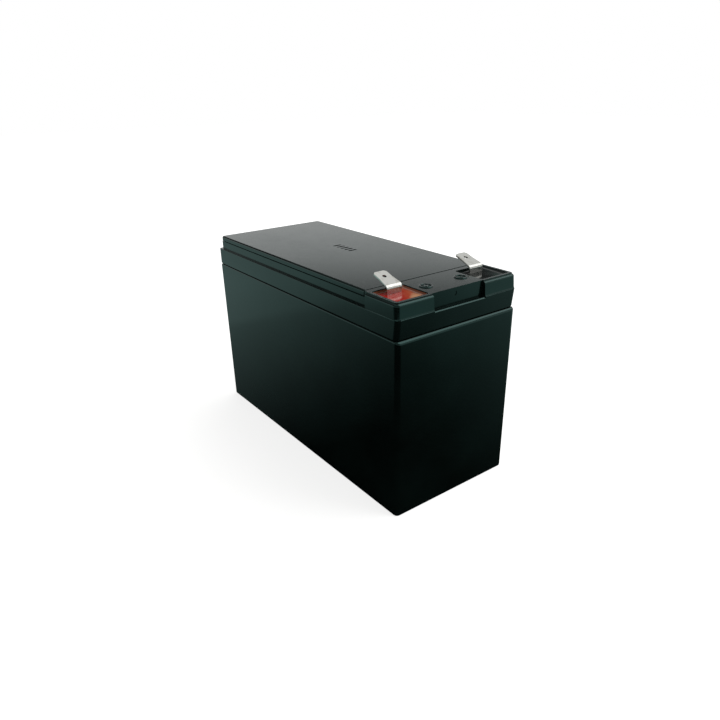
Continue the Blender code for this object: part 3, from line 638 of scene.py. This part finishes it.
plateSizes = {
    "lowX": -74.05, "highX": 53.5, "halfY": 31.05, "foot": 91.7, "top": 94.0,
    "corner": 1.7, "edge": 0.9, "footEdge": 0.15, "cutEdge": 0.12,
    "rimLow": 90.2, "rimX": (-71.9, 51.9), "rimY": 28.9, "rimWall": 1.2, "rimCorner": 0.9,
    "slots": 5, "slotPitch": 3.2, "slotWidth": 1.4, "slotLength": 4.6, "slotDepth": 0.6,
    "slotAt": (-7.8, 3.5), "slotCorner": 0.5,
}


def buildPlate(s):
    plate = startBlock("plate", (s["lowX"], -s["halfY"], s["foot"]), (s["highX"] + 3, s["halfY"], s["top"]))
    bevelEdges(plate, isUpright, s["corner"], 8)
    bevelEdges(plate, onLevel(s["top"]), s["edge"], 6)
    bevelEdges(plate, onLevel(s["foot"]), s["footEdge"], 2)
    pickObject(plate)
    bpy.ops.object.mode_set(mode="EDIT")  # cut square where it meets the terminal end
    bpy.ops.mesh.select_all(action="SELECT")
    bpy.ops.mesh.bisect(
        plane_co=(s["highX"] * mm, 0, 0), plane_no=(1, 0, 0), use_fill=True, clear_outer=True)
    bpy.ops.object.mode_set(mode="OBJECT")
    bevelEdges(plate, lambda a, b: near(a.x, s["highX"] * mm) and near(b.x, a.x), s["cutEdge"], 2)
    rims = []
    for inset in (0, s["rimWall"]):
        rim = startBlock("rim", (s["rimX"][0] + inset, inset - s["rimY"], s["rimLow"] - inset), (
            s["rimX"][1] - inset, s["rimY"] - inset, s["foot"] + (0.5 if inset == 0 else 0)))
        bevelEdges(rim, isUpright, s["rimCorner"], 5)
        rims.append(rim)
    combine(plate, "UNION", rims[:1])
    combine(plate, "DIFFERENCE", rims[1:])
    slots = []
    for number in range(s["slots"]):  # a plain row of shallow vent slots
        x = s["slotAt"][0] + s["slotPitch"] * (number - (s["slots"] - 1) / 2)
        slot = startBlock("slot", (
            x - s["slotWidth"] / 2, s["slotAt"][1] - s["slotLength"] / 2, s["top"] - s["slotDepth"]), (
            x + s["slotWidth"] / 2, s["slotAt"][1] + s["slotLength"] / 2, s["top"] + 1))
        slots.append(bevelEdges(slot, isUpright, s["slotCorner"], 4))
    combine(plate, "DIFFERENCE", slots)
    return finishPiece(plate, lidAbs, "black_abs", "cover_plate")


buildPlate(plateSizes)
print("cover plate built")


# push-on tabs

tabSizes = {
    "x": 64.7, "y": 22.3, "footZ": 89.3, "thick": 0.8, "rootWidth": 7.4, "width": 6.35,
    "foot": 3.5, "riser": 3.4, "footBend": 1.2, "bendZ": 94.92, "bend": 1.4, "slope": 19,
    "taper": 4.5, "blade": 9.2, "chamfer": 1.0, "leadIn": 0.25, "holeRadius": 0.85, "holeToTip": 3.8,
    "rivetHole": 1.8, "softEdge": 0.1, "sharp": 50,
}


def buildTab(name, s, side):
    y = side * s["y"]
    riser = s["x"] - s["riser"]
    half = s["thick"] / 2
    tab = startBlock(name, (riser + s["footBend"], y - s["rootWidth"] / 2, s["footZ"] - half), (
        s["x"] + s["foot"], y + s["rootWidth"] / 2, s["footZ"] + half))
    pickFaces(tab, lambda centre, normal: normal.x < -0.9)
    bpy.ops.mesh.spin(steps=6, angle=math.radians(-90), axis=(0, 1, 0), center=(
        (riser + s["footBend"]) * mm, y * mm, (s["footZ"] + s["footBend"]) * mm))
    rise = s["bendZ"] - s["footZ"] - s["footBend"]
    bpy.ops.mesh.extrude_region_move(TRANSFORM_OT_translate={"value": (0, 0, rise * mm)})
    lean = math.radians(90 - s["slope"])
    bpy.ops.mesh.spin(steps=8, angle=lean, axis=(0, 1, 0), center=(
        (riser - s["bend"]) * mm, y * mm, s["bendZ"] * mm))
    slope = math.radians(s["slope"])
    for run, width in ((s["taper"], s["width"] / s["rootWidth"]), (s["blade"] - s["taper"], 1)):
        bpy.ops.mesh.extrude_region_move(TRANSFORM_OT_translate={
            "value": (-run * math.cos(slope) * mm, 0, run * math.sin(slope) * mm)})
        bpy.ops.transform.resize(value=(1, width, 1), center_override=(riser * mm, y * mm, s["bendZ"] * mm))
    bpy.ops.object.mode_set(mode="OBJECT")

    # blade's end: cut corners, then the thinned lead-in
    endX = (riser - s["bend"] + s["bend"] * math.cos(lean) - s["blade"] * math.cos(slope)) * mm
    endZ = (s["bendZ"] + s["bend"] * math.sin(lean) + s["blade"] * math.sin(slope)) * mm

    def atEnd(p):
        return abs((p.x - endX) * math.cos(slope) - (p.z - endZ) * math.sin(slope)) < 0.05 * mm

    bevelEdges(tab, lambda a, b: atEnd(a) and atEnd(b) and near(a.y, b.y), s["chamfer"], 1)
    bevelEdges(tab, lambda a, b: atEnd(a) and atEnd(b) and not near(a.y, b.y), s["leadIn"], 2)

    # hole in the blade and the one that the rivet passes
    holes = [
        startRound("hole", s["holeRadius"], -2, 2, 0, 0),
        startRound("hole", s["rivetHole"], s["footZ"] - 2, s["footZ"] + 0.9, s["x"], y),
    ]
    holes[0].rotation_euler = (0, slope, 0)
    holes[0].location = (
        endX + s["holeToTip"] * mm * math.cos(slope), y * mm, endZ - s["holeToTip"] * mm * math.sin(slope))
    pickObject(holes[0])
    bpy.ops.object.transform_apply(location=True, rotation=True, scale=True)
    combine(tab, "DIFFERENCE", holes)
    modifier = tab.modifiers.new("sheared edges", "BEVEL")
    modifier.width = s["softEdge"] * mm
    modifier.segments = 2
    modifier.limit_method = "ANGLE"
    modifier.angle_limit = math.radians(s["sharp"])
    pickObject(tab)
    bpy.ops.object.modifier_apply(modifier=modifier.name)
    return tab


for name, side in (("positive", -1), ("negative", 1)):
    finishPiece(buildTab(f"{name}_blade", tabSizes, side), tinnedBrass, "tinned_brass", f"{name}_tab")
print("tabs built")


# poured resin

resinSizes = {
    "halfX": 7.4, "halfY": 7.6, "corner": 0.9, "foot": 88.3, "level": 92.9,
    # width and drop of each ring where it climbs the walls
    "climb": ((0.12, 0.3), (0.18, 0.22), (0.2, 0.14), (0.25, 0.09), (0.35, 0.05)),
    "snug": 0.06, "askew": {-1: 1.4, 1: 2.1},  # degrees out of level, chosen for what the skin mirrors
    "overRing": (6.7, 88.9), "overRivet": (1.8, 88.5, 90.5), "inBend": (1.9, 90.8), "overTab": 96,
}


def buildResin(name, s, t, side):
    y = side * t["y"]
    climb = sum(drop for _, drop in s["climb"])
    resin = startBlock(name, (t["x"] - s["halfX"], y - s["halfY"], s["foot"]), (
        t["x"] + s["halfX"], y + s["halfY"], s["level"] + climb))
    bevelEdges(resin, isUpright, s["corner"], 6)
    pickFaces(resin, lambda centre, normal: normal.z > 0.9)
    inset = 0
    for width, drop in s["climb"]:
        factors = [(half - inset - width) / (half - inset) for half in (s["halfX"], s["halfY"])]
        bpy.ops.mesh.extrude_region_move(TRANSFORM_OT_translate={"value": (0, 0, -drop * mm)})
        bpy.ops.transform.resize(
            value=(*factors, 1), center_override=(t["x"] * mm, y * mm, s["level"] * mm))
        inset += width
    bpy.ops.object.mode_set(mode="OBJECT")
    pickEdges(resin, lambda a, b: all(
        s["level"] - 0.1 < p.z / mm < s["level"] + climb - 0.1 for p in (a, b)))
    for axis, share in (("X", -0.65), ("Y", -0.76)):  # lower towards the near corner
        bpy.ops.transform.rotate(value=math.radians(share * s["askew"][side]), orient_axis=axis,
                                 center_override=(t["x"] * mm, y * mm, s["level"] * mm))
    bpy.ops.object.mode_set(mode="OBJECT")
    riser = t["x"] - t["riser"]
    half = t["thick"] / 2
    halfWidth = t["rootWidth"] / 2 + s["snug"]
    foot, low = s["foot"] - 1, s["foot"] - 1.1
    rooms = (
        startBlock("slot", (riser - half - s["snug"], y - halfWidth, foot), (
            riser + half + s["snug"], y + halfWidth, s["overTab"])),
        startBlock("room", (riser, y - halfWidth - 0.1, low), (
            t["x"] + t["foot"] + 0.3, y + halfWidth + 0.1, t["footZ"] + half + 0.3)),
        startRound("room", s["overRing"][0], low, s["overRing"][1], t["x"], y),
        startRound("room", *s["overRivet"], t["x"], y),
        startBlock("room", (riser, y - halfWidth - 0.05, foot + 0.05), (
            riser + s["inBend"][0], y + halfWidth + 0.05, s["inBend"][1])),
    )
    for room in rooms:
        combine(resin, "DIFFERENCE", [room])
    return resin


for name, side, finish in (("positive", -1, redResin), ("negative", 1, blackResin)):
    finishPiece(buildResin(f"{name}_potting", resinSizes, tabSizes, side), finish,
                "red_resin" if side < 0 else "black_resin", f"{name}_resin")
print("resin poured")


# polarity marks, raised on the lid between the pockets

markSizes = {
    "ring": 2.45, "bead": 0.42, "arm": 1.5, "base": 93.98, "barDown": 0.36, "barUp": 0.3, "barEdge": 0.2,
    "plusAt": (65.0, -9.3), "minusAt": (64.8, 9.9),
}


def buildMark(name, s, at, arms):
    deselectAll()
    bpy.ops.mesh.primitive_torus_add(
        major_radius=s["ring"] * mm, minor_radius=s["bead"] * mm, major_segments=64,
        minor_segments=16, location=(at[0] * mm, at[1] * mm, s["base"] * mm))
    mark = bpy.context.object
    mark.name = mark.data.name = name
    parts = [mark]
    for number in range(arms):
        size = (s["arm"], s["bead"]) if number == 0 else (s["bead"], s["arm"])
        bar = startBlock("bar", (at[0] - size[1], at[1] - size[0], s["base"] - s["barDown"]), (
            at[0] + size[1], at[1] + size[0], s["base"] + s["barUp"]))
        parts.append(bevelEdges(
            bar, lambda a, b: near(a.z, b.z) and a.z > (s["base"] + 0.2) * mm, s["barEdge"], 3))
    if arms == 2:
        combine(parts[1], "UNION", [parts.pop()])
    joinAll(parts)
    bpy.ops.object.transform_apply(location=True, rotation=True, scale=True)
    bpy.ops.object.mode_set(mode="EDIT")
    bpy.ops.mesh.select_all(action="SELECT")
    bpy.ops.mesh.bisect(
        plane_co=(0, 0, s["base"] * mm), plane_no=(0, 0, 1), use_fill=True, clear_inner=True)
    bpy.ops.object.mode_set(mode="OBJECT")
    return mark


finishPiece(buildMark("plus_mark", markSizes, markSizes["plusAt"], 2), lidAbs, "black_abs")
finishPiece(buildMark("minus_mark", markSizes, markSizes["minusAt"], 1), lidAbs, "black_abs")
print("polarity marks built")


# finishes of the pieces inside

innerSlots = (
    ("positive_plates", "positive_paste"), ("negative_plates", "negative_paste"),
    ("glass_mat", "glass_fibre"), ("cell_link", "lead"), ("valve_cap", "rubber"),
    ("positive_post", "lead"), ("negative_post", "lead"),
    ("positive_seal_ring", "rubber"), ("negative_seal_ring", "rubber"),
)
for nodeName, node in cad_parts.items():
    for start, slot in innerSlots:
        if nodeName.startswith(start):
            for place in node.material_slots:
                place.material = innerFinishes[slot]
print("inner pieces finished")


# floor, light and camera

studio = {
    "floorSize": 6.0, "floorPale": "#e6e6e4", "floorGlow": (0.72, 1.0), "glowReach": (0.2, 0.9),
    "floorMirrored": "#ddfffb", "mirrorReach": 0.5,
    "mirrorStops": (
        (0, 0), (0.1, 0.035), (0.2, 0.085), (0.3, 0.15),
        (0.4, 0.21), (0.51, 0.28), (0.55, 0.38), (0.8, 0.48)),
    "darkSide": -41.3, "darkShift": -0.008, "darkWidening": 0.9,  # the room is dark beyond the near corner
    "skyToCamera": 1.0, "skyToDull": 0.35,
    "wallGloss": (0.8, 0.06), "wallTop": (0.24, 0.325),  # the bright wall ends 14 to 19 degrees up
    "roofGloss": 0.4, "roofReach": (0.5, 0.9), "lampAim": (0, 0, 0.05),
    "backAt": (-0.37, 0.59, 0.85), "backSize": 0.9, "backPower": 1.75,
    "rightAt": (0.44, 0.59, 0.81), "rightSize": 0.85, "rightPower": 4.2,
}


def buildFloor(s):
    deselectAll()
    bpy.ops.mesh.primitive_plane_add(size=s["floorSize"], location=(0, 0, 0))
    floor = bpy.context.object
    floor.name = "paper_floor"
    made = bpy.data.materials.new("white_paper")
    made.use_nodes = True
    tree = made.node_tree
    tree.nodes.clear()
    made.cycles.emission_sampling = "NONE"
    place = addNode(tree, "ShaderNodeTexCoord").outputs["Object"]
    paper = addNode(tree, "ShaderNodeBsdfDiffuse", {"Color": linear(s["floorPale"])}).outputs["BSDF"]

    # seen by the camera: white paper that keeps the shadow
    away = addNode(tree, "ShaderNodeVectorMath", {0: place}, operation="LENGTH").outputs["Value"]
    glow = addNode(tree, "ShaderNodeEmission", {
        "Color": (1, 1, 1, 1),
        "Strength": spread(tree, away, *s["glowReach"], *s["floorGlow"])}).outputs["Emission"]
    white = addNode(tree, "ShaderNodeAddShader", {0: paper, 1: glow}).outputs["Shader"]

    # seen in reflections only, fitted to the photo: pale far out, dark in a wedge beyond the near corner
    turned = addNode(tree, "ShaderNodeMapping", {
        "Vector": place, "Rotation": (0, 0, math.radians(-s["darkSide"]))}).outputs["Vector"]
    sides = addNode(tree, "ShaderNodeSeparateXYZ", {"Vector": turned})
    across = addNode(tree, "ShaderNodeMath", {
        0: sides.outputs["Y"], 1: s["darkShift"]}, operation="ADD").outputs["Value"]
    across = addNode(tree, "ShaderNodeMath", {0: across}, operation="ABSOLUTE").outputs["Value"]
    outside = addNode(tree, "ShaderNodeMath", {
        0: sides.outputs["X"], 1: -s["darkWidening"], 2: across}, operation="MULTIPLY_ADD").outputs["Value"]
    # painted light and shade: in reflections the floor glows by this ramp instead of being lit, dark in the
    # wedge beyond the near corner
    ramp = addNode(tree, "ShaderNodeValToRGB", {
        "Fac": spread(tree, outside, 0.0, s["mirrorReach"], 0.0, 1.0)})
    stops = ramp.color_ramp.elements
    stops.remove(stops[1])
    for place, bright in s["mirrorStops"]:
        stop = stops.new(place) if place else stops[0]
        stop.color = (bright, bright, bright, 1)
    mirrored = addNode(tree, "ShaderNodeEmission", {
        "Color": linear(s["floorMirrored"]), "Strength": ramp.outputs["Color"]}).outputs["Emission"]

    rays = addNode(tree, "ShaderNodeLightPath").outputs
    mixed = addNode(tree, "ShaderNodeMixShader", {
        0: rays["Is Glossy Ray"], 1: paper, 2: mirrored}).outputs["Shader"]
    mixed = addNode(tree, "ShaderNodeMixShader", {
        0: rays["Is Camera Ray"], 1: mixed, 2: white}).outputs["Shader"]
    addNode(tree, "ShaderNodeOutputMaterial", {"Surface": mixed})
    floor.data.materials.append(made)


def buildSky(s):
    world = bpy.data.worlds.new("soft_room")
    bpy.context.scene.world = world
    world.use_nodes = True
    world.cycles.sampling_method = "NONE"
    tree = world.node_tree
    tree.nodes.clear()
    rays = addNode(tree, "ShaderNodeLightPath")
    dull = addNode(tree, "ShaderNodeBackground", {
        "Color": (1, 1, 1, 1), "Strength": s["skyToDull"]}).outputs[0]
    height = addNode(tree, "ShaderNodeSeparateXYZ", {
        "Vector": addNode(tree, "ShaderNodeTexCoord").outputs["Generated"]}).outputs["Z"]
    wall = spread(tree, height, *s["wallTop"], *s["wallGloss"])
    roof = spread(tree, height, *s["roofReach"], 0.0, s["roofGloss"])
    both = addNode(tree, "ShaderNodeMath", {0: wall, 1: roof}, operation="ADD").outputs["Value"]
    gloss = addNode(tree, "ShaderNodeBackground", {"Color": (1, 1, 1, 1), "Strength": both}).outputs[0]
    seen = addNode(tree, "ShaderNodeBackground", {
        "Color": (1, 1, 1, 1), "Strength": s["skyToCamera"]}).outputs[0]
    mixed = addNode(tree, "ShaderNodeMixShader", {
        0: rays.outputs["Is Glossy Ray"], 1: dull, 2: gloss}).outputs[0]
    mixed = addNode(tree, "ShaderNodeMixShader", {
        0: rays.outputs["Is Camera Ray"], 1: mixed, 2: seen}).outputs[0]
    addNode(tree, "ShaderNodeOutputWorld", {"Surface": mixed})


def addSoftbox(name, at, size, power, aim):
    lamp = bpy.data.lights.new(name, "AREA")
    lamp.shape = "SQUARE"
    lamp.size = size
    lamp.energy = power
    box = bpy.data.objects.new(name, lamp)
    bpy.context.scene.collection.objects.link(box)
    box.location = at
    box.rotation_euler = (Vector(aim) - Vector(at)).to_track_quat("-Z", "Y").to_euler()


shot = {
    "lens": 30.86, "sensor": 36, "at": (0.23685, -0.16776, 0.16538),
    "ahead": (-0.73855, 0.54067, -0.40335), "turn": -1.18,
}


def addCamera(s):
    lens = bpy.data.cameras.new("camera")
    lens.lens = s["lens"]
    lens.sensor_width = s["sensor"]
    camera = bpy.data.objects.new("camera", lens)
    bpy.context.scene.collection.objects.link(camera)
    camera.location = s["at"]
    ahead = Vector(s["ahead"])
    camera.rotation_mode = "QUATERNION"
    turn = Quaternion((0, 0, 1), math.radians(s["turn"]))
    camera.rotation_quaternion = ahead.to_track_quat("-Z", "Y") @ turn
    bpy.context.scene.camera = camera


buildFloor(studio)
buildSky(studio)
for place in ("back", "right"):
    addSoftbox(f"{place}_softbox", studio[f"{place}At"], studio[f"{place}Size"], studio[f"{place}Power"],
               studio["lampAim"])
addCamera(shot)
bpy.context.scene.view_settings.view_transform = "Standard"
print("studio ready")
